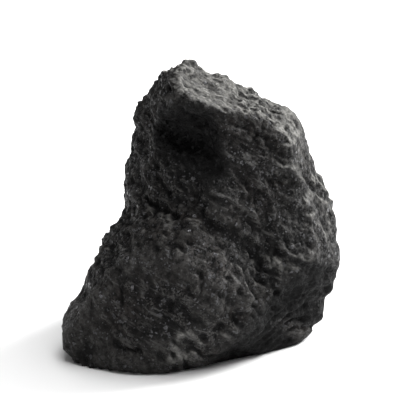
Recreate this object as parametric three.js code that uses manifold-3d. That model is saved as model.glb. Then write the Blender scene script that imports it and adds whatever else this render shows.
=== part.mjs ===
// Coal lump: one broken piece of bituminous house coal, about the size of a fist.
// It is a single natural body, so it is one closed solid: flat fracture faces and
// worn edges outside, solid coal all the way through. It has a foot that swells
// out at the front left, a big leaning front face with a lower band set back under
// a lip, a ledge at the top with a hollow under it, and a small notch low on the
// right. The outside is finished all round, and the underside is ground flat where
// the lump rests.
//
// Millimetres, +Z up, front towards -Y. The origin is under the middle of the
// lump's box, on the resting plane.

import * as THREE from "three";
import ManifoldModule from "manifold-3d";

// Overall size of the finished lump.
const WIDTH = 112;
const DEPTH = 97;
const HEIGHT = 115;

// Facets per edge of the cube whose sides are spread over the lump.
const GRID = 26;

// The fracture faces are set out from this point inside the lump.
const HEART = [3, 0, 47];

// The grid is thrown onto the surface from this point, high enough to see under the ledge.
const CORE = [2, 10, 80];

// Outline facets are set out in a plane that leans back by this many degrees.
const LEAN = 20;

// Wear: how softly neighbouring faces run into each other.
const WEAR_FACES = 1.2;
const WEAR_FOOT = 1.4;
const WEAR_LEDGE = 1.6;
const JOIN_FOOT = 3.0;
const JOIN_LEDGE = 2.0;
const JOIN_HOLLOW = 2.0;
const JOIN_OUTLINE = 2.0;

// The lower band of the front face is set back under a lip that falls to the right.
const LIP = { height: 52, from: 20, fall: 0.6, setBack: 2.6, sharpness: 0.35, start: -6, run: 10 };

// The notch low on the right, as a soft egg-shaped bite.
const NOTCH = { centre: [58, -16, 20.5], radii: [13, 4.4, 3], axes: axesAlong(0.6, -0.8, 0.1), soft: 2 };

// Slow unevenness of every face.
const SWELL = 0.35;

// The body runs on this far below the resting plane before it is ground flat.
const GRIND = 8;

// Rays that find the surface start outside the lump and step inwards.
const RAY_START = 120;
const RAY_STEP = 0.7;
const RAY_COUNT = 240;
const RAY_CLOSE = 0.002;

// How many times the grid is evened out over the surface.
const EVENINGS = 8;

// A long axis along a direction and two axes square to it.
function axesAlong(x, y, z) {
  const long = new THREE.Vector3(x, y, z).normalize();
  const side = new THREE.Vector3(0, 1, 0).addScaledVector(long, -long.y).normalize();
  return [long, side, new THREE.Vector3().crossVectors(long, side)].map((axis) => axis.toArray());
}

const radians = (degrees) => (degrees * Math.PI) / 180;
const dot = (a, b) => a[0] * b[0] + a[1] * b[1] + a[2] * b[2];
const minus = (a, b) => [a[0] - b[0], a[1] - b[1], a[2] - b[2]];

// A fracture face that looks towards (azimuth, elevation) and passes through a point.
// Azimuth 0 is the front, 90 the right, 180 the back.
function face(azimuth, elevation, point) {
  const a = radians(azimuth);
  const e = radians(elevation);
  const normal = [Math.cos(e) * Math.sin(a), -Math.cos(e) * Math.cos(a), Math.sin(e)];
  return { normal, reach: dot(normal, minus(point, HEART)) };
}

// A facet that touches the lump's outline. The angle goes round the outline from
// the right towards the top, reach is how far the outline lies from the heart,
// depth is how far in front of the heart the outline runs there, and tilt turns
// the facet towards the front (+) or the back (-).
function rim(angle, reach, depth, tilt) {
  const a = radians(angle);
  const t = radians(tilt);
  const lean = radians(LEAN);
  const across = [1, 0, 0];
  const up = [0, Math.sin(lean), Math.cos(lean)];
  const out = [0, -Math.cos(lean), Math.sin(lean)];
  const normal = [0, 1, 2].map(
    (i) => Math.cos(t) * (Math.cos(a) * across[i] + Math.sin(a) * up[i]) + Math.sin(t) * out[i]
  );
  return { normal, reach: Math.cos(t) * reach + Math.sin(t) * depth };
}

// The foot's two front corners: low at the floor, and out at its right shoulder.
const FOOT_TOE = [-14, -45, 2.5];
const FOOT_CORNER = [8.7, -48, 33];

// Everything stays inside these: the outline, then the back.
const OUTLINE = [
  rim(78, 59.8, 0, -34), rim(62, 54.8, 2, -14), rim(50, 52.6, 0, -38),
  rim(30.7, 51.6, -6, -24),
  rim(20.3, 51.8, -9, -38), rim(20.3, 51.8, -9, 14),
  rim(12.5, 53.4, -8, -20), rim(12.5, 53.4, -8, 24),
  rim(-1.6, 55.6, -6, -30), rim(-1.6, 55.6, -6, 18),
  rim(-25.5, 61, -4, -18), rim(-25.5, 57.2, -4, 25),
  rim(-34, 64.5, -10, -10), rim(-64.5, 60.5, 6, -5),
  rim(-147, 75, 16, 30), rim(-147, 76.5, 16, -20),
  rim(-110, 69.8, 24, 16), rim(-110, 71, 24, -8),
  rim(-92.5, 61.5, 26, 20), rim(122, 62.5, 0, 8),
  face(172, 28, [10, 20, 97]),
  face(160, -6, [10, 46, 40]),
  face(-148, 6, [-22, 38, 45]),
  face(-135, 40, [-20, 22, 90]),
  face(118, 6, [47, 26, 45]),
  face(185, -34, [0, 44, 18]),
  face(-100, -8, [-58, 0, 22]),
  face(0, -90, [0, 0, -GRIND]),
];

// The main block: leaning front face, top falling to the right, undercut, left side.
const BLOCK = [
  face(25, 14, [28.5, -32.6, 28]),
  face(84, 62, [18, -20, 98.7]),
  face(44, -21, [34.5, -14, 0]),
  face(35, -40, [10, -27, 0]),
  face(-34, 8, [9, -31.5, 84]),
  face(-70, 4, [-22, -12, 80]),
  rim(172, 35, 0, 22), rim(173, 35.5, 0, -7),
  rim(159, 42, -4, 10), rim(159, 41, -4, -20),
];

// The foot: its front, left cheek, slope above, undercut, right end, cap and left side.
const FOOT = [
  face(-14, 3, FOOT_TOE),
  face(-50, 4, [-46.5, -39, 15]),
  face(30, 33, FOOT_CORNER),
  face(30, -26, FOOT_CORNER),
  face(8, -14, [-12, -43.6, 6]),
  face(66, 14, [19, -44, 28]),
  face(-30, 52, [-16, -34, 56]),
  face(180, 50, [0, 10, 55]),
  rim(147, 31.2, 2, 14), rim(147, 31.2, 2, -30),
  rim(153, 36.5, 4, 20),
  rim(-164.6, 72.5, 14, -20), rim(-164.6, 70, 14, 30),
];

// The ledge: a thin slab along the top with its brow and its underside.
const LEDGE = [
  face(84, 62, [18, -20, 99.6]),
  face(6, 40, [5, -31, 105]),
  face(48, 10, [20, -20, 95]),
  face(-15, -56, [0, -29, 106]),
  face(-62, 8, [-21, -22, 96]),
  face(-24, 14, [-15, -28, 105]),
  face(-50, 60, [-6, -28, 108.5]),
  rim(172, 35, 0, 20),
  rim(159, 42, -4, 10), rim(159, 41, -4, -20),
];

// The hollow under the ledge, open to the front and the left: right wall, back, floor, roof.
const HOLLOW = [
  face(126, 5, [14, -32, 82]),
  face(164, 4, [-4, -13, 90]),
  face(176, -52, [0, -30, 76]),
  face(165, 56, [0, -29, 106]),
];

// Largest of the face distances, with worn edges where two are nearly equal.
function block(point, faces, wear) {
  const [x, y, z] = minus(point, HEART);
  const distances = new Float64Array(faces.length);
  let most = -Infinity;
  for (let i = 0; i < faces.length; i++) {
    const { normal, reach } = faces[i];
    distances[i] = normal[0] * x + normal[1] * y + normal[2] * z - reach;
    most = Math.max(most, distances[i]);
  }
  let sum = 0;
  for (const distance of distances) sum += Math.exp((distance - most) / wear);
  return most + wear * Math.log(sum);
}

// Smaller of two distances, joined with a fillet.
function join(a, b, soft) {
  const h = Math.min(Math.max(0.5 + (0.5 * (b - a)) / soft, 0), 1);
  return b + (a - b) * h - soft * h * (1 - h);
}

// Larger of two distances, with the same rounding.
const keep = (a, b, soft) => -join(-a, -b, soft);

// Distance from an egg shape, measured along its long axis and two across it.
function egg(point, { centre, radii, axes }) {
  const from = minus(point, centre);
  const size = Math.hypot(...axes.map((axis, i) => dot(from, axis) / radii[i]));
  return (size - 1) * Math.min(...radii);
}

// Slow swelling and sinking of the faces.
function swell([x, y, z]) {
  return (
    0.9 * Math.sin(x * 0.13 + 1.2 * Math.sin(z * 0.09) + 0.7) +
    0.8 * Math.sin(z * 0.17 + y * 0.08 + 0.3) +
    0.6 * Math.sin(y * 0.21 - x * 0.11)
  );
}

// Signed distance-like value of the whole lump: below zero inside, above zero outside.
function lump(point) {
  const [x, , z] = point;
  const aboveLip = (z - LIP.height + LIP.fall * (x - LIP.from)) * LIP.sharpness;
  const lipRun = Math.min(Math.max((x - LIP.start) / LIP.run, 0), 1);
  const setBack = LIP.setBack * (0.5 - 0.5 * Math.tanh(aboveLip)) * lipRun;
  let value = block(point, BLOCK, WEAR_FACES) + setBack;
  value = join(value, block(point, FOOT, WEAR_FOOT), JOIN_FOOT);
  value = keep(value, -block(point, HOLLOW, WEAR_FACES), JOIN_HOLLOW);
  value = join(value, block(point, LEDGE, WEAR_LEDGE), JOIN_LEDGE);
  value = keep(value, block(point, OUTLINE, WEAR_FACES), JOIN_OUTLINE);
  value = keep(value, -egg(point, NOTCH), NOTCH.soft);
  return value + SWELL * swell(point);
}

// First point of the surface met on the way in towards the core.
function surface(target) {
  const from = minus(target, CORE);
  const size = Math.hypot(...from);
  const at = (radius) => from.map((c, i) => CORE[i] + (c / size) * radius);
  let radius = RAY_START;
  for (let step = 0; step < RAY_COUNT; step++) {
    const value = lump(at(radius));
    if (value < RAY_CLOSE) break;
    radius -= value * RAY_STEP;
  }
  return at(radius);
}

// The six sides of a cube spread over the sphere of directions, corners shared.
function cage() {
  const spread = (i) => Math.tan((i / GRID - 0.5) * (Math.PI / 2));
  const sides = [
    (a, b) => [1, a, b],
    (a, b) => [-1, -a, b],
    (a, b) => [-a, 1, b],
    (a, b) => [a, -1, b],
    (a, b) => [-b, a, 1],
    (a, b) => [b, a, -1],
  ];
  const points = [];
  const quads = [];
  const known = new Map();
  for (const side of sides) {
    const index = [];
    for (let i = 0; i <= GRID; i++) {
      for (let j = 0; j <= GRID; j++) {
        const corner = side(spread(i), spread(j));
        const size = Math.hypot(...corner);
        const key = corner.map((c) => Math.round((c / size) * 1e6)).join(" ");
        if (!known.has(key)) {
          known.set(key, points.length);
          points.push(surface(corner.map((c, k) => CORE[k] + c)));
        }
        index.push(known.get(key));
      }
    }
    const row = GRID + 1;
    for (let i = 0; i < GRID; i++) {
      for (let j = 0; j < GRID; j++) {
        const a = i * row + j;
        quads.push([a, a + row, a + row + 1, a + 1].map((k) => index[k]));
      }
    }
  }
  return { points, quads };
}

// Move every point to the middle of its neighbours, then back onto the surface.
function even(points, quads) {
  const sums = points.map(() => [0, 0, 0]);
  const counts = new Array(points.length).fill(0);
  for (const quad of quads) {
    quad.forEach((at, k) => {
      const next = points[quad[(k + 1) % quad.length]];
      sums[at].forEach((_, i) => (sums[at][i] += next[i]));
      counts[at]++;
    });
  }
  return sums.map((sum, at) => surface(sum.map((c) => c / counts[at])));
}

// The whole closed skin, each quad split along its shorter diagonal.
function skin() {
  let { points, quads } = cage();
  for (let pass = 0; pass < EVENINGS; pass++) points = even(points, quads);
  const apart = (a, b) => Math.hypot(...minus(points[a], points[b]));
  const triangles = quads.flatMap(([a, b, c, d]) =>
    apart(a, c) <= apart(b, d) ? [[a, b, c], [a, c, d]] : [[a, b, d], [b, c, d]]
  );
  return { points, triangles };
}

// Grind the underside flat on the resting plane.
async function ground({ points, triangles }) {
  const wasm = await ManifoldModule();
  wasm.setup();
  const mesh = new wasm.Mesh({
    numProp: 3,
    vertProperties: Float32Array.from(points.flat()),
    triVerts: Uint32Array.from(triangles.flat()),
  });
  const whole = new wasm.Manifold(mesh);
  const flat = whole.trimByPlane([0, 0, 1], 0);
  const result = flat.getMesh();
  const geometry = new THREE.BufferGeometry();
  geometry.setAttribute("position", new THREE.BufferAttribute(Float32Array.from(result.vertProperties), result.numProp));
  geometry.setIndex([...result.triVerts]);
  return geometry;
}

// Bring the lump to its overall size and set it over the origin.
function toSize(geometry) {
  geometry.computeBoundingBox();
  const { min, max } = geometry.boundingBox;
  geometry.translate(-(min.x + max.x) / 2, -(min.y + max.y) / 2, -min.z);
  geometry.scale(WIDTH / (max.x - min.x), DEPTH / (max.y - min.y), HEIGHT / (max.z - min.z));
  return geometry;
}

const geometry = toSize(await ground(skin()));
geometry.computeVertexNormals();

const coal = new THREE.MeshStandardMaterial({ color: 0x2a2927, roughness: 0.62, metalness: 0 });
coal.name = "coal";

const coalLump = new THREE.Mesh(geometry, coal);
coalLump.name = "coal_lump";

const part = new THREE.Group();
part.name = "coal_lump_part";
part.add(coalLump);

export default part;
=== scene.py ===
"""Coal lump: one fist-sized piece of bituminous house coal, standing on a pale studio floor.

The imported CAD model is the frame. The lump is worked out again here on a much finer grid, at the size
and place of the CAD solid, with the grain, bedding, chips and dust of real coal.
"""

import math

import bpy
import numpy as np
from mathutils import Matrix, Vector


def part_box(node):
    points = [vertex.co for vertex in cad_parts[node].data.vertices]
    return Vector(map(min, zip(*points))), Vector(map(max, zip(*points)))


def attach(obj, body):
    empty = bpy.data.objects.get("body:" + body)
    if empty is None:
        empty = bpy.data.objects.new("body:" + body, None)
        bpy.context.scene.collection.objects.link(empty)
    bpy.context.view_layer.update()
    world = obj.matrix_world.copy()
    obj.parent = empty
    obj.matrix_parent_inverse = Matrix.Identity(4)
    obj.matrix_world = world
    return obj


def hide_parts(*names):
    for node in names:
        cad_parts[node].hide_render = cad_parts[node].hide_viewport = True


bl_info = {
    "name": "Coal Lump",
    "version": (1, 0, 0),
    "blender": (4, 5, 0),
    "location": "View3D > Sidebar > Coal Lump",
    "description": "Builds a lump of house coal and its studio floor",
    "category": "Add Mesh",
}

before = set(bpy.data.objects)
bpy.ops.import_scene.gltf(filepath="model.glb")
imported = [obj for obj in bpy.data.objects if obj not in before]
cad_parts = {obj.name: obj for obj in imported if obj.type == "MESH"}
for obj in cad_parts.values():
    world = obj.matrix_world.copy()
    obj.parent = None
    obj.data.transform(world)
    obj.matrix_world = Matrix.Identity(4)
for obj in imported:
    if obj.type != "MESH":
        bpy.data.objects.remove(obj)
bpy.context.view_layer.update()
LUMP_LOW, LUMP_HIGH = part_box("coal_lump")
LUMP_SIZE = LUMP_HIGH - LUMP_LOW
LUMP_MIDDLE = (LUMP_LOW + LUMP_HIGH) / 2

# The shape is worked out in millimetres, front towards -Y, and then set into the CAD solid's box.
MM = 1000.0

# The broken faces are set out from this point inside the lump.
HEART = np.array([3.0, 0.0, 47.0])

# The grid is thrown onto the surface from this point, high enough to see under the ledge.
CORE = np.array([2.0, 10.0, 80.0])

# Outline facets are set out in a plane that leans back by this many degrees.
LEAN = 20.0

# How softly neighbouring faces run into each other, in millimetres.
WEAR_FACES = 1.2
WEAR_FOOT = 1.4
WEAR_LEDGE = 1.6
JOIN_FOOT = 3.0
JOIN_LEDGE = 2.0
JOIN_OUTLINE = 2.0

# The lower band of the front face is set back under a lip that falls to the right.
LIP_HEIGHT = 52.0
LIP_FROM = 20.0
LIP_FALL = 0.6
LIP_SET_BACK = 2.6
LIP_SHARPNESS = 0.6
LIP_START = -6.0
LIP_RUN = 10.0

# The way the beds face: they fall to the right. Their streaks run down to the right too. Pale dust
# lies on what faces up and to the right, towards the lights: partly real dust, partly painted light.
BED = np.array([0.467, -0.049, 0.883])
STREAKS = np.array([0.883, 0.0, -0.467])
DUST_AND_LIGHT_FROM = np.array([0.42, 0.12, 0.9])

# A turn (its rows are three axes at right angles) so that no lattice lines up with the lump.
TURN = np.array([[0.36, 0.48, -0.8], [-0.8, 0.6, 0.0], [0.48, 0.64, 0.6]])

# Where the undercut broke in rings: where the break began, where it shows, and how wide a ring is.
RIPPLE_START = (37.0, -14.0, -4.0)
RIPPLE_MIDDLE = (34.0, -20.0, 12.0)
RIPPLE_RADII = (17.0, 16.0, 15.0)
RIPPLE_WIDTH = 4.4

# Rings waver by this much of a turn in radians, over this many millimetres.
RIPPLE_WAVER = 1.3
RIPPLE_WAVER_SIZE = 9.0
RIPPLE_SEED = 301

# Where the break is smooth, by centre and radii: the foot's front, the undercut, the left cheek
# and the right side.
SMOOTH_PLACES = (
    ((-28.0, -40.0, 16.0), (26.0, 14.0, 22.0)),
    ((30.0, -20.0, 10.0), (24.0, 18.0, 16.0)),
    ((-54.0, -26.0, 20.0), (20.0, 28.0, 32.0)),
    ((56.0, -8.0, 22.0), (18.0, 28.0, 44.0)),
)

# Where the beds show most, by centre and radii: the middle of the front face.
STREAKED = ((12.0, -38.0, 42.0), (22.0, 16.0, 20.0))

# Where pale dust is laid on, with how much of it, by centre and radii: the foot's flank, its toe and
# its right corner, the lip, the right side and its top, and less of it (-) under the ledge. It is
# partly real dust and partly painted light on lit places, and leaves painted shade under the ledge.
DUST_AND_LIGHT_PLACES = (
    (0.15, (-3.0, -46.0, 38.0), (15.0, 14.0, 15.0)),
    (1.0, (-5.0, -44.0, 8.0), (10.0, 12.0, 18.0)),
    (0.6, (13.0, -36.0, 17.0), (11.0, 12.0, 6.0)),
    (0.75, (39.0, -27.0, 40.0), (16.0, 14.0, 6.0)),
    (0.35, (52.0, -10.0, 62.0), (14.0, 22.0, 36.0)),
    (0.45, (40.0, -12.0, 86.0), (16.0, 22.0, 16.0)),
    (-0.9, (22.0, -19.0, 91.0), (22.0, 9.0, 10.0)),
)

# Where the rough surface stands further out (+) or in (-), with how far, by centre and radii: the
# right side, the top at the right, the top's back edge, low on the right, and the foot's left end.
SWELLINGS = (
    (0.4, (58.0, -6.0, 36.0), (16.0, 24.0, 18.0)),
    (2.4, (38.0, -4.0, 90.0), (28.0, 24.0, 24.0)),
    (1.6, (14.0, 10.0, 102.0), (22.0, 26.0, 16.0)),
    (8.0, (50.0, -12.0, 7.0), (15.0, 20.0, 12.0)),
    (-2.4, (-54.0, -38.0, 6.0), (14.0, 16.0, 12.0)),
)
SWELLING_SOFT = 0.8

# A deep pit at the right, by centre, radii, depth and the radii of the shade painted round it, and a
# flat slot low in the foot.
DARK_PIT = (31.6, -31.0, 28.0)
DARK_PIT_RADII = (2.6, 6.0, 2.2)
DARK_PIT_DEPTH = 2.6
DARK_PIT_SHADE = (4.0, 8.0, 3.5)
SLOT = (-26.5, -41.9, 10.6)
SLOT_RADII = (5.6, 5.0, 1.3)
SLOT_DEPTH = 2.0

# A point lower than this lies on the floor, and the relief comes in over the margin above it.
ON_FLOOR = 0.02
FOOT_MARGIN = 3.0

# The lattices of scars and facets are warped by slow noise of this size, one seed for each axis.
WARP_SIZE = 14.0
WARP_SEEDS = (401, 402, 403)

# Noises by size, octaves and seed: how patchy the coal is, where its beds show, grain and holes.
PATCHES = (30.0, 2, 5)
BEDDED_PATCHES = (22.0, 2, 15)
GRAIN = (3.0, 2, 71)
HOLES = (5.0, 2, 91)

# Lattices by size and seed: scars, then broken facets from broad to tiny.
SCARS = (15.0, 21)
BROAD = (20.0, 31)
BIG = (14.0, 41)
MIDDLING = (7.0, 51)
SMALL = (3.6, 61)
TINY = (1.9, 81)

# How far the coarse relief stands out in millimetres. Scars are measured from the scar level.
SCAR_RISE = 1.1
SCAR_LEVEL = 0.35
BROAD_RISE = 1.0
BED_RISE = 1.2
RIPPLE_RISE = 0.8

# How far the fine relief stands out in grain depths.
BIG_RISE = 1.3
MIDDLING_RISE = 1.4
SMALL_RISE = 1.3
TINY_RISE = 0.7
GRAIN_RISE = 0.4
FINE_BED_RISE = 0.8
HOLE_DEPTH = 0.4

# Beds: how far they wave and how widely, slowly and quickly, and where in each layer the next one
# begins to show. Thin beds have a share of the thickness of the others.
BED_WAVE = 1.6
BED_WAVE_SIZE = 26.0
BED_TREMBLE = 0.25
BED_TREMBLE_SIZE = 6.0
BED_EDGE = 0.7
BED_SEED = 11
FINE_BED_SHARE = 0.36
FINE_BED_SEED = 12

# Where things come in, from none to all, in millimetres: across to the crumbly right side, and up
# to the crumbly top, its beds, and the pale dust, partly painted light, of the upper half and the top.
RIGHT_SIDE = (30.0, 42.0)
TOP_FACE = (88.0, 98.0)
TOP_BEDS = (86.0, 96.0)
DUST_AND_LIGHT_HEIGHTS = (60.0, 90.0)
DUST_AND_LIGHT_TOP = (92.0, 100.0)
DUST_AND_LIGHT_MOST = 1.2

# The undercut's painted shade lies to the right of a line that leans this much, and comes in over a run.
UNDERCUT_SLOPE = 0.75
UNDERCUT_RUN = (-4.0, 8.0)

# How often the surface is evened out to tell what is raised, and what is an edge or a valley.
RAISED_PASSES = 10
RIDGE_PASSES = 50

# The whole form swells slowly by this much.
SWELL = 0.35

# Rays that find the surface start outside the lump and step inwards.
RAY_START = 120.0
RAY_STEP = 0.7
RAY_COUNT = 90

# How far a point is nudged to measure the slope of the signed distance.
NUDGE = 0.02


# ---------------------------------------------------------------------------------------------
# The lump's form


def unit(vector):
    """A vector divided by its length."""
    vector = np.asarray(vector, float)
    return vector / np.linalg.norm(vector, axis=-1, keepdims=True)


def face(azimuth, elevation, point):
    """A broken face that looks towards (azimuth, elevation) and passes through a point.

    Azimuth 0 is the front, 90 the right, 180 the back. Returns the face's normal and its reach,
    which is how far the face lies from the heart along that normal.
    """
    a, e = math.radians(azimuth), math.radians(elevation)
    normal = np.array([math.cos(e) * math.sin(a), -math.cos(e) * math.cos(a), math.sin(e)])
    return normal, float(normal @ (np.array(point, float) - HEART))


def rim(angle, reach, depth, tilt):
    """A facet that touches the lump's outline, as its normal and its reach from the heart.

    The angle goes round the outline from the right towards the top, reach is how far the outline
    lies from the heart, depth is how far in front of the heart it runs there, and tilt turns the
    facet towards the front (+) or the back (-).
    """
    a, t, lean = math.radians(angle), math.radians(tilt), math.radians(LEAN)
    across = np.array([1.0, 0.0, 0.0])
    up = np.array([0.0, math.sin(lean), math.cos(lean)])
    out = np.array([0.0, -math.cos(lean), math.sin(lean)])
    normal = math.cos(t) * (math.cos(a) * across + math.sin(a) * up) + math.sin(t) * out
    return normal, math.cos(t) * reach + math.sin(t) * depth


# The foot's two front corners: low at the floor, and out at its right shoulder.
FOOT_TOE = (-14.0, -45.0, 2.5)
FOOT_CORNER = (8.7, -48.0, 33.0)

# Everything stays inside these: the outline, then the back.
OUTLINE = [
    rim(78, 59.8, 0, -34), rim(62, 54.8, 2, -14), rim(50, 52.6, 0, -38),
    rim(30.7, 51.6, -6, -24),
    rim(20.3, 51.8, -9, -38), rim(20.3, 51.8, -9, 14),
    rim(12.5, 53.4, -8, -20), rim(12.5, 53.4, -8, 24),
    rim(-1.6, 55.6, -6, -30), rim(-1.6, 55.6, -6, 18),
    rim(-25.5, 61, -4, -18), rim(-25.5, 57.2, -4, 25),
    rim(-34, 64.5, -10, -10), rim(-64.5, 60.5, 6, -5),
    rim(-147, 75, 16, 30), rim(-147, 76.5, 16, -20),
    rim(-110, 69.8, 24, 16), rim(-110, 71, 24, -8),
    rim(-92.5, 61.5, 26, 20), rim(122, 62.5, 0, 8),
    face(172, 28, (10, 20, 97)),
    face(160, -6, (10, 46, 40)),
    face(-148, 6, (-22, 38, 45)),
    face(-135, 40, (-20, 22, 90)),
    face(118, 6, (47, 26, 45)),
    face(185, -34, (0, 44, 18)),
    face(-100, -8, (-58, 0, 22)),
]

# The main block: leaning front face, top falling to the right, undercut, left side.
BLOCK = [
    face(25, 14, (28.5, -32.6, 28)),
    face(84, 62, (18, -20, 98.7)),
    face(44, -21, (34.5, -14, 0)),
    face(35, -40, (10, -27, 0)),
    face(-34, 8, (9, -31.5, 84)),
    face(-70, 4, (-22, -12, 80)),
    rim(172, 35, 0, 22), rim(173, 35.5, 0, -7),
    rim(159, 42, -4, 10), rim(159, 41, -4, -20),
]

# The foot: its front, left cheek, slope above, undercut, right end, cap and left side.
FOOT = [
    face(-14, 3, FOOT_TOE),
    face(-50, 4, (-46.5, -39, 15)),
    face(30, 33, FOOT_CORNER),
    face(30, -26, FOOT_CORNER),
    face(8, -14, (-12, -43.6, 6)),
    face(66, 14, (19, -44, 28)),
    face(-30, 52, (-16, -34, 56)),
    face(180, 50, (0, 10, 55)),
    rim(147, 31.2, 2, 14), rim(147, 31.2, 2, -30),
    rim(153, 36.5, 4, 20),
    rim(-164.6, 72.5, 14, -20), rim(-164.6, 70, 14, 30),
]

# The ledge: a thin slab along the top with its brow and its underside.
LEDGE = [
    face(84, 62, (18, -20, 99.6)),
    face(6, 40, (5, -31, 105)),
    face(48, 10, (20, -20, 95)),
    face(-15, -56, (0, -29, 106)),
    face(-62, 8, (-21, -22, 96)),
    face(-24, 14, (-15, -28, 105)),
    face(-50, 60, (-6, -28, 108.5)),
    rim(172, 35, 0, 20),
    rim(159, 42, -4, 10), rim(159, 41, -4, -20),
]


def egg(centre, radii, along):
    """An egg-shaped bite: its centre, its three radii, and its axes with the long one given."""
    long = unit(along)
    side = unit(np.array([0.0, 1.0, 0.0]) - long * long[1])
    return np.array(centre, float), np.array(radii, float), np.stack([long, side, np.cross(long, side)])


# The hollow under the ledge, open to the left: its right wall, back wall, floor and roof.
HOLLOW = [
    face(126, 5, (14, -32, 82)),
    face(164, 4, (-4, -13, 90)),
    face(176, -52, (0, -30, 76)),
    face(165, 56, (0, -29, 106)),
]
HOLLOW_SOFT = 2.0

# A notch low on the right, as an egg-shaped bite with how softly its edge runs out.
NOTCH = (egg((58, -16, 20.5), (13, 4.4, 3), (0.6, -0.8, 0.1)), 2.0)


def block(points, faces, wear):
    """Signed distance from a body bounded by faces.

    The value is the largest of the distances from the faces, with the logarithm of the sum of
    exponentials in place of a plain maximum, so that edges are worn round.
    """
    normals = np.array([normal for normal, _ in faces])
    reaches = np.array([reach for _, reach in faces])
    distances = (points - HEART) @ normals.T - reaches
    most = distances.max(axis=1)
    return most + wear * np.log(np.exp((distances - most[:, None]) / wear).sum(axis=1))


def join(a, b, soft):
    """The smaller of two distances, with a round fillet where they meet."""
    h = np.clip(0.5 + 0.5 * (b - a) / soft, 0.0, 1.0)
    return b + (a - b) * h - soft * h * (1.0 - h)


def keep(a, b, soft):
    """The larger of two distances, with a round edge where they meet."""
    return -join(-a, -b, soft)


def bite(points, value, shape):
    """Cut an egg out of a body: the larger of the body's distance and minus the egg's."""
    (centre, radii, axes), soft = shape
    size = np.linalg.norm((points - centre) @ axes.T / radii, axis=1)
    return keep(value, (1.0 - size) * radii.min(), soft)


def swell(points):
    """Slow unevenness of the faces: a sum of three sine waves that run in different directions."""
    x, y, z = points.T
    return (
        0.9 * np.sin(x * 0.13 + 1.2 * np.sin(z * 0.09) + 0.7)
        + 0.8 * np.sin(z * 0.17 + y * 0.08 + 0.3)
        + 0.6 * np.sin(y * 0.21 - x * 0.11)
    )


def lump(points):
    """Signed distance-like value of the whole lump, below zero inside.

    The main block, with its band set back under the lip, is joined with the foot, bitten out by
    the hollow, joined with the ledge, kept inside the outline and bitten out by the notch.
    """
    x, z = points[:, 0], points[:, 2]
    above = (z - LIP_HEIGHT + LIP_FALL * (x - LIP_FROM)) * LIP_SHARPNESS
    run = np.clip((x - LIP_START) / LIP_RUN, 0.0, 1.0)
    value = block(points, BLOCK, WEAR_FACES) + LIP_SET_BACK * (0.5 - 0.5 * np.tanh(above)) * run
    value = join(value, block(points, FOOT, WEAR_FOOT), JOIN_FOOT)
    value = keep(value, -block(points, HOLLOW, WEAR_FACES), HOLLOW_SOFT)
    value = join(value, block(points, LEDGE, WEAR_LEDGE), JOIN_LEDGE)
    value = keep(value, block(points, OUTLINE, WEAR_FACES), JOIN_OUTLINE)
    value = bite(points, value, NOTCH)
    value = value + SWELL * swell(points)
    return np.maximum(value, -z)


# ---------------------------------------------------------------------------------------------
# The grid that carries the form


def cube_directions(cells):
    """Directions over the six sides of a cube, as an array of six square grids.

    On each side two parameters run from -45 to 45 degrees, and the direction is (1, tan a, tan b)
    turned onto that side.
    """
    t = np.tan(np.linspace(-math.pi / 4, math.pi / 4, cells + 1))
    a, b = np.meshgrid(t, t, indexing="ij")
    one = np.ones_like(a)
    sides = [(one, a, b), (-one, -a, b), (-a, one, b), (a, -one, b), (-b, a, one), (b, a, -one)]
    return unit(np.stack([np.stack(side, axis=-1) for side in sides]))


def weld(directions):
    """One number for each different direction, so that the six grids share their edges."""
    key = np.round(directions.reshape(-1, 3) * 1e6).astype(np.int64)
    _, first, number = np.unique(key, axis=0, return_index=True, return_inverse=True)
    return first, number.reshape(directions.shape[:3])


def quads_of(number):
    """The four corners of each cell of the six grids, in order round the cell."""
    corners = [number[:, :-1, :-1], number[:, 1:, :-1], number[:, 1:, 1:], number[:, :-1, 1:]]
    return np.stack([corner.reshape(-1) for corner in corners], axis=1)


def surface(targets):
    """The first point of the surface on the way in to the core, for each target point.

    Each ray starts outside and steps in by a share of the signed distance at its tip.
    """
    heading = unit(targets - CORE)
    radius = np.full(len(targets), RAY_START)
    for _ in range(RAY_COUNT):
        radius -= RAY_STEP * lump(CORE + heading * radius[:, None])
    return CORE + heading * radius[:, None]


def settle(points, steps):
    """Points moved straight onto the surface: the value over its own slope, against the slope."""
    for _ in range(steps):
        value = lump(points)
        slope = np.stack([lump(points + nudge) - value for nudge in NUDGE * np.eye(3)], axis=1) / NUDGE
        points = points - (value / (slope**2).sum(axis=1))[:, None] * slope
    return points


def neighbour_mean(values, quads):
    """The mean of each point's neighbours round the quads, column by column."""
    if values.ndim > 1:
        return np.stack([neighbour_mean(column, quads) for column in values.T], axis=1)
    start = quads.reshape(-1)
    end = np.roll(quads, -1, axis=1).reshape(-1)
    return np.bincount(start, values[end], len(values)) / np.bincount(start, minlength=len(values))


def even(points, quads):
    """Each point moved to the mean of its neighbours, then back on the surface."""
    return settle(neighbour_mean(points, quads), 1)


def finer(points, number):
    """The six grids with a new row and column half way between each two, still in their places."""
    grid = points[number]
    rows = np.empty((6, 2 * grid.shape[1] - 1, grid.shape[2], 3))
    rows[:, ::2], rows[:, 1::2] = grid, (grid[:, :-1] + grid[:, 1:]) / 2
    full = np.empty((6, rows.shape[1], 2 * rows.shape[2] - 1, 3))
    full[:, :, ::2], full[:, :, 1::2] = rows, (rows[:, :, :-1] + rows[:, :, 1:]) / 2
    return full


def skin(cells, levels, passes):
    """The lump's plain surface: points and quads of a welded grid over six cube sides.

    A coarse grid is thrown onto the surface and evened out, then made twice as fine and evened
    out again, as often as there are levels.
    """
    directions = cube_directions(cells)
    first, number = weld(directions)
    points = surface(CORE + directions.reshape(-1, 3)[first])
    for level in range(levels + 1):
        quads = quads_of(number)
        for _ in range(passes * (levels + 1 - level)):
            points = even(points, quads)
        if level < levels:
            full = finer(points, number)
            cells *= 2
            first, number = weld(cube_directions(cells))
            points = full.reshape(-1, 3)[first]
    return settle(points, 2), quads


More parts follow.
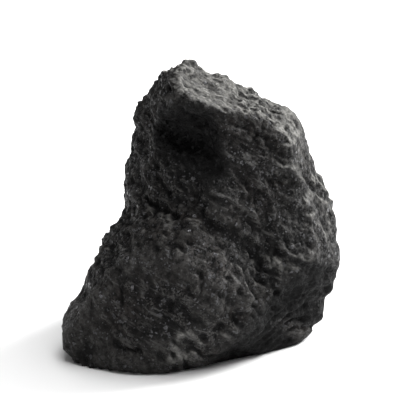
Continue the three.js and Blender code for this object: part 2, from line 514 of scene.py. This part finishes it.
def normals_of(points, quads):
    """Outward normals at the points: the sum of the quads' area vectors round each point."""
    a, b, c, d = (points[quads[:, i]] for i in range(4))
    area = np.cross(c - a, d - b)
    total = np.stack(
        [np.bincount(quads.reshape(-1), np.repeat(area[:, i], 4), len(points)) for i in range(3)],
        axis=1,
    )
    return unit(total)


# ---------------------------------------------------------------------------------------------
# Noise, all worked out from whole arrays and fixed seeds


# Large whole numbers that a lattice cell and its seed are mixed with, and how the mix is stirred.
MIX = (73856093, 19349663, 83492791)
MIX_SEED = (40503, 977)
STIRS = ((15, 2246822519), (13, 3266489917))
LAST_STIR = 16
ALL_BITS = 0xFFFFFFFF

# What brings each noise to about -1 to 1, and how the octaves of layered noise shift and shrink.
NOISE_GAIN = 1.6
SHARD_GAIN = 3.2
OCTAVE_SHIFT = 31.7
OCTAVE_SHRINK = 0.49


def scatter(i, j, k, seed):
    """A number from 0 to 1 for each cell of a lattice, mixed from its three whole coordinates."""
    h = (i * MIX[0]) ^ (j * MIX[1]) ^ (k * MIX[2]) ^ (seed * MIX_SEED[0] + MIX_SEED[1])
    h &= ALL_BITS
    for shift, factor in STIRS:
        h = ((h ^ (h >> shift)) * factor) & ALL_BITS
    return (h ^ (h >> LAST_STIR)) / (ALL_BITS + 1)


CORNERS = [(x, y, z) for x in (0, 1) for y in (0, 1) for z in (0, 1)]
AROUND = [(x, y, z) for x in (-1, 0, 1) for y in (-1, 0, 1) for z in (-1, 0, 1)]


def smooth_noise(points, seed):
    """Gradient noise from about -1 to 1.

    Each lattice corner has a random direction, and the value is the blend of the slopes along
    those directions, with the quintic ease 6t^5 - 15t^4 + 10t^3.
    """
    cell = np.floor(points).astype(np.int64)
    t = points - cell
    ease = t * t * t * (t * (t * 6 - 15) + 10)
    total = np.zeros(len(points))
    for corner in CORNERS:
        at = cell + corner
        turn = scatter(*at.T, seed) * 2 * math.pi
        height = scatter(*at.T, seed + 101) * 2 - 1
        flat = np.sqrt(1 - height * height)
        slope = np.stack([flat * np.cos(turn), flat * np.sin(turn), height], axis=1)
        weight = np.where(corner, ease, 1 - ease).prod(axis=1)
        total += weight * (slope * (t - corner)).sum(axis=1)
    return total * NOISE_GAIN


def layered_noise(points, size, octaves, seed, ridged=False):
    """Gradient noise added up at ever smaller sizes, each half as strong as the one before."""
    total, strength, whole = np.zeros(len(points)), 1.0, 0.0
    for octave in range(octaves):
        value = smooth_noise(points / size + OCTAVE_SHIFT * octave, seed + octave)
        total += strength * (1 - 2 * np.abs(value) if ridged else value)
        whole += strength
        strength *= 0.5
        size *= OCTAVE_SHRINK
    return total / whole


def shards(points, size, seed):
    """Flat broken facets that meet in sharp edges: their height from about -1 to 1, and their tone.

    Space is cut into cubes, and each cube into six pyramids by the order of a point's three parts
    within it. The height runs straight between the random heights of a pyramid's four corners,
    and each pyramid has one tone.
    """
    scaled = points @ TURN / size
    cell = np.floor(scaled).astype(np.int64)
    part = scaled - cell
    order = np.argsort(-part, axis=1)
    part = np.take_along_axis(part, order, axis=1)
    shares = np.stack([1 - part[:, 0], part[:, 0] - part[:, 1], part[:, 1] - part[:, 2], part[:, 2]])
    corner, height = cell, shares[0] * scatter(*cell.T, seed)
    for step in range(3):
        corner = corner + (np.arange(3) == order[:, step : step + 1])
        height = height + shares[step + 1] * scatter(*corner.T, seed)
    tone = scatter(*cell.T, seed + 50 + order[:, 0] * 3 + order[:, 1])
    return SHARD_GAIN * (height - 0.5), tone


def ramp(value, low, high):
    """0 below low, 1 above high, and the smooth ease 3t^2 - 2t^3 between them."""
    t = np.clip((value - low) / (high - low), 0.0, 1.0)
    return t * t * (3 - 2 * t)


# ---------------------------------------------------------------------------------------------
# The finished lump


def bowls(points, size, seed):
    """Conchoidal scars: the squared distance to the nearest cell centre, so each cell is a bowl.

    The bowls meet in sharp ridges. The value runs from 0 in the middle to about 1 on a ridge.
    """
    scaled = points / size
    cell = np.floor(scaled).astype(np.int64)
    near = np.full(len(points), np.inf)
    for step in AROUND:
        at = cell + step
        jitter = np.stack([scatter(*at.T, seed + n) for n in (1, 2, 3)], axis=1)
        near = np.minimum(near, ((scaled - (at + jitter)) ** 2).sum(axis=1))
    return near


def beds(points, thickness, seed):
    """Bedding layers: each layer stands out by its own amount, with a crisp edge to the next.

    The height over the bed, made wavy by slow noise, is cut into layers. Each layer has a number
    from its index, and the last part of each layer runs over into the next one's number.
    """
    height = points @ BED + BED_WAVE * layered_noise(points, BED_WAVE_SIZE, 2, seed)
    height += BED_TREMBLE * smooth_noise(points / BED_TREMBLE_SIZE, seed + 5)
    at = height / thickness
    whole = np.floor(at)
    index = whole.astype(np.int64)
    here, after = (scatter(index + step, index * 0, index * 0 + 7, seed + 9) for step in (0, 1))
    return here + (after - here) * ramp(at - whole, BED_EDGE, 1.0) - 0.5


def pit(points, centre, radii, soft=0.5):
    """How deep a point lies in an egg-shaped pit: 1 well inside it and 0 outside it."""
    size = np.linalg.norm((points - np.array(centre)) / np.array(radii), axis=1)
    return 1.0 - ramp(size, 1.0 - soft, 1.0)


def ripples(points):
    """Rings of a conchoidal break in the undercut: a sine of the distance from where it began."""
    reach = np.linalg.norm((points - np.array(RIPPLE_START)) * (1.0, 0.8, 1.0), axis=1)
    inside = pit(points, RIPPLE_MIDDLE, RIPPLE_RADII, 0.35)
    waver = RIPPLE_WAVER * smooth_noise(points / RIPPLE_WAVER_SIZE, RIPPLE_SEED)
    wave = np.sin(2 * math.pi * reach / RIPPLE_WIDTH + waver)
    return inside * (0.5 * wave + 0.5 * wave * np.abs(wave))


def even_out(values, quads, passes):
    """Values averaged half and half with their neighbours' mean, again and again."""
    for _ in range(passes):
        values = 0.5 * values + 0.5 * neighbour_mean(values, quads)
    return values


def temper(points, out):
    """What kind of coal each point is: its slow patchiness, how crumbly it is and how bedded.

    It is crumbly in patches, less so where the break is smooth and a little more so at the right
    and the top. Beds show in patches of their own and along the top, and less where the break is
    smooth or the face runs along them.
    """
    x, _, z = points.T
    patch = layered_noise(points, *PATCHES)
    smooth = np.clip(sum(pit(points, *place) for place in SMOOTH_PLACES), 0, 1)
    extra = 0.1 * ramp(x, *RIGHT_SIDE) + 0.12 * ramp(z, *TOP_FACE)
    crumbly = ramp(patch + extra - 0.5 * smooth, -0.35, 0.3)
    bedded = ramp(layered_noise(points, *BEDDED_PATCHES) + 0.5 * pit(points, *STREAKED), -0.25, 0.2)
    bedded = np.maximum(bedded, ramp(z, *TOP_BEDS)) * (1.0 - 0.7 * smooth)
    bedded *= 1.0 - 0.8 * ramp(out @ BED, 0.55, 0.85)
    return patch, crumbly, bedded


def coarse_relief(points, warped, bedded, layer):
    """Scars, broad facets, beds, rings, pits and swellings, in millimetres out from the faces."""
    relief = SCAR_RISE * (bowls(warped, *SCARS) - SCAR_LEVEL) + BROAD_RISE * shards(warped, *BROAD)[0]
    relief += BED_RISE * bedded * layer
    relief += RIPPLE_RISE * ripples(points)
    relief -= DARK_PIT_DEPTH * pit(points, DARK_PIT, DARK_PIT_RADII)
    relief -= SLOT_DEPTH * pit(points, SLOT, SLOT_RADII)
    return relief + sum(amount * pit(points, *place, SWELLING_SOFT) for amount, *place in SWELLINGS)


def fine_relief(points, warped, crumbly, bedded, fine_layer):
    """Chipped facets, grain, thin beds and holes, in grain depths, and the tone of the chips.

    The facets are cut from a lattice squeezed across the beds, so that chips lie flat along them.
    """
    flaky = warped + (warped @ BED)[:, None] * BED
    big, _ = shards(flaky, *BIG)
    middling, tone = shards(flaky, *MIDDLING)
    small, _ = shards(flaky, *SMALL)
    tiny, _ = shards(points, *TINY)
    grain = layered_noise(points, *GRAIN, ridged=True)
    holes = ramp(layered_noise(points, *HOLES), 0.38, 0.6)
    relief = (
        BIG_RISE * big
        + (0.35 + 0.65 * crumbly) * (MIDDLING_RISE * middling + SMALL_RISE * small + TINY_RISE * tiny)
        + GRAIN_RISE * grain * (0.3 + 0.7 * crumbly)
        + FINE_BED_RISE * bedded * fine_layer
        - HOLE_DEPTH * holes * crumbly
    )
    return relief, tone


def dust_and_painted_light(points, out, patch):
    """How thick the pale dust is: on what faces up and to the right, most on top, and in its places.

    It is partly real dust and partly painted light on what faces the lights.
    """
    z = points[:, 2]
    lying = ramp(out @ DUST_AND_LIGHT_FROM, 0.35, 0.95) * np.clip(0.85 + 0.3 * patch, 0, 1)
    lying *= 0.8 + 0.2 * ramp(z, *DUST_AND_LIGHT_HEIGHTS) + 0.25 * ramp(z, *DUST_AND_LIGHT_TOP)
    caught = sum(amount * pit(points, *place) for amount, *place in DUST_AND_LIGHT_PLACES)
    return np.clip(lying + caught * ramp(out[:, 2], -0.8, 0.1), 0, DUST_AND_LIGHT_MOST)


def ridge_of(points, out, quads):
    """How far each point of the plain form stands out from its surroundings: edges + and valleys -."""
    return ((points - even_out(points, quads, RIDGE_PASSES)) * out).sum(axis=1)


def undercut(points, out):
    """Painted shade: 1 on what faces down below a line that climbs to the right, and 0 elsewhere."""
    x, _, z = points.T
    return ramp(-out[:, 2], -0.15, 0.2) * ramp(x - UNDERCUT_SLOPE * z, *UNDERCUT_RUN)


def painted_hollow_shade(points):
    """Painted shade: 1 on the walls of the hollow under the ledge and in the dark pit, running out to 0.
    """
    hollow = 1.0 - ramp(block(points, HOLLOW, WEAR_FACES), 0.5, 4.5)
    return np.maximum(hollow, pit(points, DARK_PIT, DARK_PIT_SHADE, 0.6))


def roughen(points, quads, settings):
    """The plain surface broken up like coal, with what each point looks like.

    The coarse relief moves the points along their normals, and the fine relief moves them along
    the new normals. Both run out to nothing at the flat underside.
    """
    plain_out = normals_of(points, quads)
    z = points[:, 2]
    free = ramp(z, 0.0, FOOT_MARGIN)
    warped = points + np.stack([smooth_noise(points / WARP_SIZE, seed) for seed in WARP_SEEDS], axis=1)
    patch, crumbly, bedded = temper(points, plain_out)
    layer = beds(points, settings.bed_thickness * MM, BED_SEED)
    fine_layer = beds(points, settings.bed_thickness * MM * FINE_BED_SHARE, FINE_BED_SEED)

    coarse = coarse_relief(points, warped, bedded, layer)
    moved = points + plain_out * (free * coarse)[:, None]
    fine, tone = fine_relief(points, warped, crumbly, bedded, fine_layer)
    moved = moved + normals_of(moved, quads) * (free * settings.grain_depth * MM * fine)[:, None]
    moved[:, 2] = np.where(z < ON_FLOOR, 0.0, np.maximum(moved[:, 2], 0.0))

    raised = fine + coarse - even_out(fine + coarse, quads, RAISED_PASSES)
    striped = ramp(0.6 * layer + 0.8 * fine_layer, -0.1, 0.5)
    looks = {
        # Pale dust, partly real dust and partly painted light.
        "dust": dust_and_painted_light(points, normals_of(moved, quads), patch),
        # Painted shade on the undercut.
        "under": undercut(points, plain_out),
        "clean": ramp(tone, 0.5, 0.6),
        # These two lead to painted shade in low grains and valleys, and to paler paint on raised tops
        # and edges.
        "raised": np.clip(0.5 + 0.5 * raised, 0, 1),
        "ridge": np.clip(0.5 + 0.7 * ridge_of(points, plain_out, quads), 0, 1),
        "bed": (0.3 + 0.7 * striped) * bedded,
        # Painted shade in the hollow and the dark pit, which also keeps dust off there.
        "hollow": painted_hollow_shade(points),
    }
    return moved, looks


def into_frame(points, plain):
    """Millimetres of the form turned into metres, so that the plain form fills the CAD's box."""
    low, high = plain.min(axis=0), plain.max(axis=0)
    share = (points - low) / (high - low)
    return share * np.array(LUMP_SIZE) + np.array(LUMP_LOW)


def put(name, data, place=(0.0, 0.0, 0.0), way=None):
    """A new object in the scene, at a place and turned to look along a way."""
    obj = bpy.data.objects.new(name, data)
    obj.location = place
    if way is not None:
        obj.rotation_euler = way.to_track_quat("-Z", "Y").to_euler()
    bpy.context.scene.collection.objects.link(obj)
    return obj


def mesh_object(name, points, quads, looks):
    """A smooth mesh object from points and quads, with one float attribute for each look."""
    mesh = bpy.data.meshes.new(name)
    mesh.vertices.add(len(points))
    mesh.vertices.foreach_set("co", points.astype(np.float32).reshape(-1))
    mesh.loops.add(quads.size)
    mesh.loops.foreach_set("vertex_index", quads.astype(np.int32).reshape(-1))
    mesh.polygons.add(len(quads))
    mesh.polygons.foreach_set("loop_start", np.arange(0, quads.size, 4, dtype=np.int32))
    mesh.polygons.foreach_set("loop_total", np.full(len(quads), 4, dtype=np.int32))
    mesh.polygons.foreach_set("use_smooth", np.ones(len(quads), dtype=bool))
    mesh.update(calc_edges=True)
    if mesh.validate():
        raise RuntimeError(f"{name} has bad faces")
    for look, values in looks.items():
        attribute = mesh.attributes.new(look, "FLOAT", "POINT")
        attribute.data.foreach_set("value", values.astype(np.float32))
    return put(name, mesh)


# ---------------------------------------------------------------------------------------------
# Materials


# How many small facets there are in a metre: wide, middling and fine ones.
FACET_SCALES = (330.0, 760.0, 1700.0)

# Noises in the coal's material by scale, detail and roughness.
STAIN_NOISE = (34.0, 4.0, 0.55)
STREAK_NOISE = (520.0, 4.0, 0.65)
RUB_NOISE = (520.0, 4.0, 0.7)
GRAIN_NOISE = (210.0, 3.0, 0.55)
DUST_NOISE = (480.0, 4.0, 0.75)
BUMP_NOISE = (1100.0, 3.0, 0.55)
BUMP_NOISE_HEIGHT = 0.0004

# The share of the way along the streaks that is taken out to draw noise out along them.
STREAK_STRETCH = 0.85

# The black of painted shade on facets turned down and on whatever lies deep, and of clean coal.
BLACK = (0.0025, 0.0025, 0.0026)


class Nodes:
    """Short ways to add and link shader nodes in one material or world."""

    def __init__(self, owner):
        owner.use_nodes = True
        self.tree = owner.node_tree
        self.tree.nodes.clear()

    def add(self, kind, inputs=None, **settings):
        """A node of that kind with its settings and its input values or links."""
        node = self.tree.nodes.new(kind)
        for key, value in settings.items():
            setattr(node, key, value)
        for key, value in (inputs or {}).items():
            if isinstance(value, bpy.types.NodeSocket):
                self.tree.links.new(value, node.inputs[key])
            else:
                node.inputs[key].default_value = value
        return node

    def look(self, name):
        """The value of one of the mesh's own looks."""
        return self.add("ShaderNodeAttribute", attribute_name=name).outputs["Fac"]

    def vector(self, operation, a, b):
        """One sum on two vectors."""
        return self.add("ShaderNodeVectorMath", {0: a, 1: b}, operation=operation).outputs[0]

    def dot(self, a, b):
        """How far one vector runs along another."""
        node = self.add("ShaderNodeVectorMath", {0: a, 1: b}, operation="DOT_PRODUCT")
        return node.outputs["Value"]

    def math(self, operation, *values, clamp=False):
        """One sum on the values, taken from the first to the last."""
        result, *rest = values
        for value in rest:
            inputs = {0: result, 1: value}
            node = self.add("ShaderNodeMath", inputs, operation=operation, use_clamp=clamp)
            result = node.outputs[0]
        return result

    def blend(self, factor, a, b):
        """One colour running into another."""
        node = self.add("ShaderNodeMix", {0: factor, 6: a, 7: b}, data_type="RGBA")
        return node.outputs[2]

    def spread(self, value, low, high, to_low=0.0, to_high=1.0):
        """A value spread from one range onto another, held at its ends."""
        node = self.add(
            "ShaderNodeMapRange", {0: value, 1: low, 2: high, 3: to_low, 4: to_high}, clamp=True
        )
        return node.outputs[0]


def rgba(colour):
    """A colour with full cover."""
    return (*colour, 1.0)


class CoalNodes(Nodes):
    """The parts of the coal's material, with the places and looks that they share."""

    def __init__(self, material):
        super().__init__(material)
        self.place = self.add("ShaderNodeTexCoord").outputs["Object"]
        self.wide, self.middling, self.fine = (self.facets(scale) for scale in FACET_SCALES)
        self.mid_tone, self.fine_tone = self.tone(self.middling), self.tone(self.fine)
        self.raised, self.ridge = self.look("raised"), self.look("ridge")
        self.hollow, self.clean = self.look("hollow"), self.look("clean")
        self.lines = self.streaks()

    def noise(self, scale, detail, rough, place=None):
        """Noise from 0 to 1, at the object's own places or at others."""
        inputs = {"Vector": place or self.place, "Scale": scale, "Detail": detail, "Roughness": rough}
        return self.add("ShaderNodeTexNoise", inputs).outputs["Fac"]

    def streaks(self):
        """Noise drawn out along the streaks of the beds."""
        along = self.dot(self.place, tuple(-STREAK_STRETCH * STREAKS))
        inputs = {0: tuple(STREAKS), "Scale": along}
        shift = self.add("ShaderNodeVectorMath", inputs, operation="SCALE").outputs[0]
        return self.noise(*STREAK_NOISE, self.vector("ADD", self.place, shift))

    def facets(self, scale):
        """Small broken facets, so many of them in a metre."""
        return self.add("ShaderNodeTexVoronoi", {"Vector": self.place, "Scale": scale})

    def tilt(self, facets):
        """The height of each facet's tilted plane."""
        offset = self.vector("SUBTRACT", self.place, facets.outputs["Position"])
        return self.dot(offset, self.vector("SUBTRACT", facets.outputs["Color"], (0.5, 0.5, 0.5)))

    def tone(self, facets):
        """Each facet's own tone from 0 to 1."""
        return self.add("ShaderNodeSeparateColor", {0: facets.outputs["Color"]}).outputs[2]

    def bare_coal(self, settings):
        """Stained dull coal with pale streaks and grains, rubbed edges and raised tops.

        Facets are blackened one by one the more they tilt down, as painted shade. The rubbed edges and
        raised tops are painted paler, partly as wear and partly as painted highlight.
        """
        stain = self.spread(self.noise(*STAIN_NOISE), 0.45, 0.68)
        colour = self.blend(stain, rgba(settings.coal_colour), rgba(settings.stain_colour))
        # Painted shade: the more a middling facet tilts down, the blacker it is painted.
        colour = self.blend(self.spread(self.mid_tone, 0.1, 0.9, 0.0, 0.95), colour, rgba(BLACK))
        colour = self.blend(self.math("MULTIPLY", self.clean, 0.5), colour, rgba(BLACK))

        shown = self.math("MAXIMUM", self.look("bed"), 0.45)
        standing = self.spread(self.raised, 0.35, 0.6, 0.2, 1.0)
        streak = self.math("MULTIPLY", shown, standing, self.spread(self.lines, 0.53, 0.62))
        colour = self.blend(streak, colour, rgba(settings.grain_colour))

        # Partly wear and partly painted highlight: raised tops and edges are painted paler.
        tops = self.spread(self.raised, 0.45, 0.75)
        crumbs = self.math("MULTIPLY", tops, self.spread(self.fine_tone, 0.5, 0.65))
        patchy = self.spread(self.noise(*RUB_NOISE), 0.4, 0.62, 0.15, 1.0)
        rub_and_edge_light = self.math("MULTIPLY", self.spread(self.ridge, 0.57, 0.9), patchy)
        less = self.spread(self.clean, 0.0, 1.0, 1.0, 0.6)
        worn = self.math("MULTIPLY", self.math("MAXIMUM", crumbs, rub_and_edge_light), less)
        colour = self.blend(worn, colour, rgba(settings.worn_and_lit_colour))

        clusters = self.spread(self.noise(*GRAIN_NOISE), 0.52, 0.6, 0.0, 0.8)
        grains = self.math("MULTIPLY", self.spread(self.fine_tone, 0.93, 0.96), clusters)
        return self.blend(grains, colour, rgba(settings.grain_colour))

    def cover(self):
        """How much pale dust covers a spot: the lump's dust over patchy noise, and less in the low.

        The pale cover is partly real dust and partly painted light.
        """
        patchy = self.math("MULTIPLY", self.math("ADD", self.noise(*DUST_NOISE), self.lines), 0.5)
        lying = self.math("MULTIPLY", self.look("dust"), 0.5)
        return self.math(
            "MULTIPLY",
            self.spread(self.math("ADD", patchy, lying), 0.7, 1.04),
            self.spread(self.fine_tone, 0.1, 0.5, 0.65, 1.0),
            self.spread(self.raised, 0.2, 0.6, 0.4, 1.0),
            self.spread(self.hollow, 0.0, 0.7, 1.0, 0.0),
            self.spread(self.clean, 0.0, 1.0, 1.0, 0.5),
        )

    def depth(self):
        """Painted shade: how black a spot is for lying deep, in low grains, the hollow, undercut or
        valleys.
        """
        return self.math(
            "MAXIMUM",
            self.spread(self.raised, 0.45, 0.1, 0.0, 0.85),
            self.math("MULTIPLY", self.hollow, 0.85),
            self.math("MULTIPLY", self.look("under"), 0.95),
            self.spread(self.ridge, 0.42, 0.1, 0.0, 0.7),
        )

    def gloss(self, cover, depth):
        """How glassy a spot is: 1 on glassy grains and flecks, and less under dust or in the painted
        shade.
        """
        bright = self.math("MULTIPLY", self.clean, 0.03)
        grain = self.math("GREATER_THAN", self.math("ADD", self.mid_tone, bright), 0.985)
        fleck = self.math("GREATER_THAN", self.math("ADD", self.fine_tone, bright), 0.97)
        hidden = self.math("MAXIMUM", self.math("MULTIPLY", cover, 0.8), depth)
        bare = self.math("SUBTRACT", 1.0, hidden, clamp=True)
        return self.math("MULTIPLY", self.math("MAXIMUM", grain, fleck), bare)

    def roughness(self, cover, glassy):
        """Rough coal, rougher under dust, and smoother on the glassy grains."""
        grainy = self.spread(self.fine_tone, 0.0, 1.0, 0.45, 0.8)
        matt = self.math("MAXIMUM", grainy, self.spread(cover, 0.0, 0.5, 0.3, 0.9))
        glint = self.spread(self.fine_tone, 0.0, 1.0, 0.2, 0.45)
        return self.add("ShaderNodeMix", {0: glassy, 2: matt, 3: glint}, data_type="FLOAT").outputs[0]

    def bump(self):
        """Three sizes of tilted facets, with a fine noise over them."""
        height = self.math(
            "ADD",
            self.math("MULTIPLY", self.tilt(self.wide), 0.4),
            self.math("MULTIPLY", self.tilt(self.middling), 1.2),
            self.math("MULTIPLY", self.tilt(self.fine), 0.9),
            self.math("MULTIPLY", self.noise(*BUMP_NOISE), BUMP_NOISE_HEIGHT),
        )
        node = self.add("ShaderNodeBump", {"Strength": 1.0, "Distance": 1.0, "Height": height})
        return node.outputs["Normal"]


def coal_material(settings):
    """Dull black coal with glossy grains and bands, brown stain, rubbed edges and pale dust.

    Whatever lies deep gets painted shade, and the pale dust and rubbed edges are partly painted light.
    """
    material = bpy.data.materials.new("coal")
    nodes = CoalNodes(material)
    cover, depth = nodes.cover(), nodes.depth()
    glassy = nodes.gloss(cover, depth)
    # Pale dust, partly real dust and partly painted light.
    dust = nodes.math("MULTIPLY", cover, settings.dust)
    colour = nodes.blend(dust, nodes.bare_coal(settings), rgba(settings.dust_and_light_colour))
    # Painted shade: whatever lies deep is blended towards black.
    colour = nodes.blend(depth, colour, rgba(BLACK))
    colour = nodes.blend(glassy, colour, rgba(settings.gloss_colour))
    shader = nodes.add(
        "ShaderNodeBsdfPrincipled",
        {
            "Base Color": colour,
            "Metallic": glassy,
            "Roughness": nodes.roughness(cover, glassy),
            "IOR": 1.5,
            "Specular IOR Level": 0.1,
            "Normal": nodes.bump(),
        },
    )
    nodes.add("ShaderNodeOutputMaterial", {"Surface": shader.outputs[0]})
    return material


def floor_material(colour):
    """Plain matt paper-white floor."""
    material = bpy.data.materials.new("studio_floor")
    nodes = Nodes(material)
    inputs = {"Base Color": rgba(colour), "Roughness": 0.9, "Specular IOR Level": 0.1}
    shader = nodes.add("ShaderNodeBsdfPrincipled", inputs)
    nodes.add("ShaderNodeOutputMaterial", {"Surface": shader.outputs[0]})
    return material


# ---------------------------------------------------------------------------------------------
# Settings that a user would change


def colour_setting(name, description, default):
    """A colour that a user can change."""
    return bpy.props.FloatVectorProperty(
        name=name, description=description, default=default, size=3, subtype="COLOR"
    )


def length_setting(name, description, default):
    """A length in metres that a user can change."""
    return bpy.props.FloatProperty(
        name=name, description=description, default=default, unit="LENGTH", subtype="DISTANCE"
    )


class CoalLumpSettings(bpy.types.PropertyGroup):
    """Fineness, roughness and colours of the lump."""

    cells: bpy.props.IntProperty(
        name="Coarse cells", description="Cells along a cube edge before the grid is made finer",
        default=16, min=4, max=32,
    )
    levels: bpy.props.IntProperty(
        name="Levels", description="How often the grid is made twice as fine", default=3, min=0, max=4
    )
    passes: bpy.props.IntProperty(
        name="Even passes", description="How often each grid is evened out", default=3, min=0, max=20
    )
    bed_thickness: length_setting("Bed thickness", "Thickness of the bedding layers", 0.0032)
    grain_depth: length_setting("Grain depth", "How far the crumbly grain stands out", 0.0006)
    coal_colour: colour_setting("Coal", "Colour of dull clean coal", (0.0105, 0.0103, 0.01))
    stain_colour: colour_setting("Stain", "Colour of brownish patches", (0.032, 0.028, 0.026))
    # Rubbed edges and crumbs: partly wear, partly painted highlight on raised tops and edges.
    worn_and_lit_colour: colour_setting("Worn", "Colour of rubbed edges and crumbs", (0.052, 0.05, 0.048))
    grain_colour: colour_setting("Grains", "Colour of pale grains and streaks", (0.11, 0.108, 0.105))
    gloss_colour: colour_setting("Gloss", "Mirror colour of glassy grains", (0.07, 0.07, 0.073))
    # Colour of pale dust that is partly real dust and partly painted light.
    dust_and_light_colour: colour_setting("Dust", "Colour of coal dust lying on top", (0.23, 0.226, 0.214))
    dust: bpy.props.FloatProperty(
        name="Dust cover", description="How much of the top the dust covers", default=0.9,
        min=0.0, max=1.0, subtype="FACTOR",
    )


class CoalStageSettings(bpy.types.PropertyGroup):
    """Floor, camera and lights."""

    floor_size: length_setting("Floor size", "Width of the studio floor", 40.0)
    floor_colour: colour_setting("Floor", "Colour of the studio floor", (0.88, 0.88, 0.88))
    camera_distance: length_setting("Camera distance", "From the lump's middle to the camera", 1.6)
    camera_height: bpy.props.FloatProperty(
        name="Camera height", description="Angle of the camera above the floor",
        default=math.radians(20), unit="ROTATION", subtype="ANGLE",
    )
    lens: bpy.props.FloatProperty(name="Lens", description="Focal length", default=358.0, unit="CAMERA")
    sun_strength: bpy.props.FloatProperty(
        name="Top light", description="Strength of the wide soft light from above", default=3.4
    )
    fill_strength: bpy.props.FloatProperty(
        name="Fill", description="Light from all round the room", default=0.12
    )


# ---------------------------------------------------------------------------------------------
# Operators


WHITE = (1.0, 1.0, 1.0, 1.0)

# The way the wide light from above shines, and how wide it looks from the floor.
SUN_WAY = (-0.28, -0.05, -1.0)
SUN_ANGLE = math.radians(60)

# Softboxes: name, shift from the lump's middle, width and height in metres, and power in watts.
SOFTBOXES = (
    ("back_right", (1.25, 0.7, 1.0), 0.8, 0.6, 66.0),
    ("front_left", (-1.2, -1.3, 0.9), 0.9, 0.9, 3.0),
)

# The width of the camera's sensor in millimetres, and how many metres it sees.
SENSOR_WIDTH = 36.0
CAMERA_REACH = 100.0


class COAL_OT_lump(bpy.types.Operator):
    """Build the lump of coal in place of the plain CAD solid."""

    bl_idname = "coal.lump"
    bl_label = "Coal Lump"

    def execute(self, context):
        settings = context.scene.coal_lump
        plain, quads = skin(settings.cells, settings.levels, settings.passes)
        points, looks = roughen(plain, quads, settings)
        piece = mesh_object("lump", into_frame(points, plain), quads, looks)
        piece.data.materials.append(coal_material(settings))
        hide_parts("coal_lump")
        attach(piece, "root")
        return {"FINISHED"}


def softbox(name, shift, width, height, power):
    """A rectangular soft light at a shift from the lump's middle, turned towards it."""
    data = bpy.data.lights.new(name, "AREA")
    data.shape = "RECTANGLE"
    data.size, data.size_y = width, height
    data.energy = power
    place = LUMP_MIDDLE + Vector(shift)
    put(name, data, place, LUMP_MIDDLE - place)


class COAL_OT_stage(bpy.types.Operator):
    """Lay the floor, light it and aim the camera."""

    bl_idname = "coal.stage"
    bl_label = "Studio Stage"

    def execute(self, context):
        settings = context.scene.coal_stage
        self.floor(settings)
        self.world(context, settings)
        self.lights(settings)
        self.camera(context, settings)
        return {"FINISHED"}

    def floor(self, settings):
        """One big square of matt floor at the height the lump rests on."""
        half = settings.floor_size / 2
        height = LUMP_LOW.z
        mesh = bpy.data.meshes.new("floor")
        mesh.from_pydata(
            [(-half, -half, height), (half, -half, height), (half, half, height), (-half, half, height)],
            [], [(0, 1, 2, 3)],
        )
        mesh.materials.append(floor_material(settings.floor_colour))
        put("floor", mesh)

    def world(self, context, settings):
        """A white room to look at that lights the lump only a little."""
        world = bpy.data.worlds.new("studio")
        context.scene.world = world
        nodes = Nodes(world)
        seen = nodes.add("ShaderNodeBackground", {"Color": WHITE, "Strength": 1.0})
        glow = nodes.add("ShaderNodeBackground", {"Color": WHITE, "Strength": settings.fill_strength})
        camera_ray = nodes.add("ShaderNodeLightPath").outputs["Is Camera Ray"]
        inputs = {0: camera_ray, 1: glow.outputs[0], 2: seen.outputs[0]}
        mix = nodes.add("ShaderNodeMixShader", inputs)
        nodes.add("ShaderNodeOutputWorld", {0: mix.outputs[0]})

    def lights(self, settings):
        """A wide soft light from above, a softbox at the back right and a weak one at the left."""
        data = bpy.data.lights.new("top_light", "SUN")
        data.energy = settings.sun_strength
        data.angle = SUN_ANGLE
        put("top_light", data, way=Vector(SUN_WAY))
        for light in SOFTBOXES:
            softbox(*light)

    def camera(self, context, settings):
        """A long lens that looks down on the lump from the front."""
        data = bpy.data.cameras.new("camera")
        data.lens = settings.lens
        data.sensor_width = SENSOR_WIDTH
        data.clip_end = CAMERA_REACH
        back, angle = settings.camera_distance, settings.camera_height
        place = LUMP_MIDDLE + Vector((0, -back * math.cos(angle), back * math.sin(angle)))
        camera = put("camera", data, place, LUMP_MIDDLE - place)
        context.scene.camera = camera
        context.scene.view_settings.view_transform = "Standard"


class COAL_PT_sidebar(bpy.types.Panel):
    """The lump and its stage, with their settings."""

    bl_label = "Coal Lump"
    bl_space_type = "VIEW_3D"
    bl_region_type = "UI"
    bl_category = "Coal Lump"

    def draw(self, context):
        layout = self.layout
        for operator, settings in (
            ("coal.lump", context.scene.coal_lump),
            ("coal.stage", context.scene.coal_stage),
        ):
            layout.operator(operator)
            for name in settings.__annotations__:
                layout.prop(settings, name)


CLASSES = (CoalLumpSettings, CoalStageSettings, COAL_OT_lump, COAL_OT_stage, COAL_PT_sidebar)


def register():
    """Register the classes and hang the settings on the scene."""
    for cls in CLASSES:
        bpy.utils.register_class(cls)
    bpy.types.Scene.coal_lump = bpy.props.PointerProperty(type=CoalLumpSettings)
    bpy.types.Scene.coal_stage = bpy.props.PointerProperty(type=CoalStageSettings)


def unregister():
    """Take the settings off the scene and unregister the classes."""
    del bpy.types.Scene.coal_stage
    del bpy.types.Scene.coal_lump
    for cls in reversed(CLASSES):
        bpy.utils.unregister_class(cls)


def main():
    """Build everything."""
    register()
    bpy.ops.coal.lump()
    bpy.ops.coal.stage()


if __name__ == "__main__":
    main()
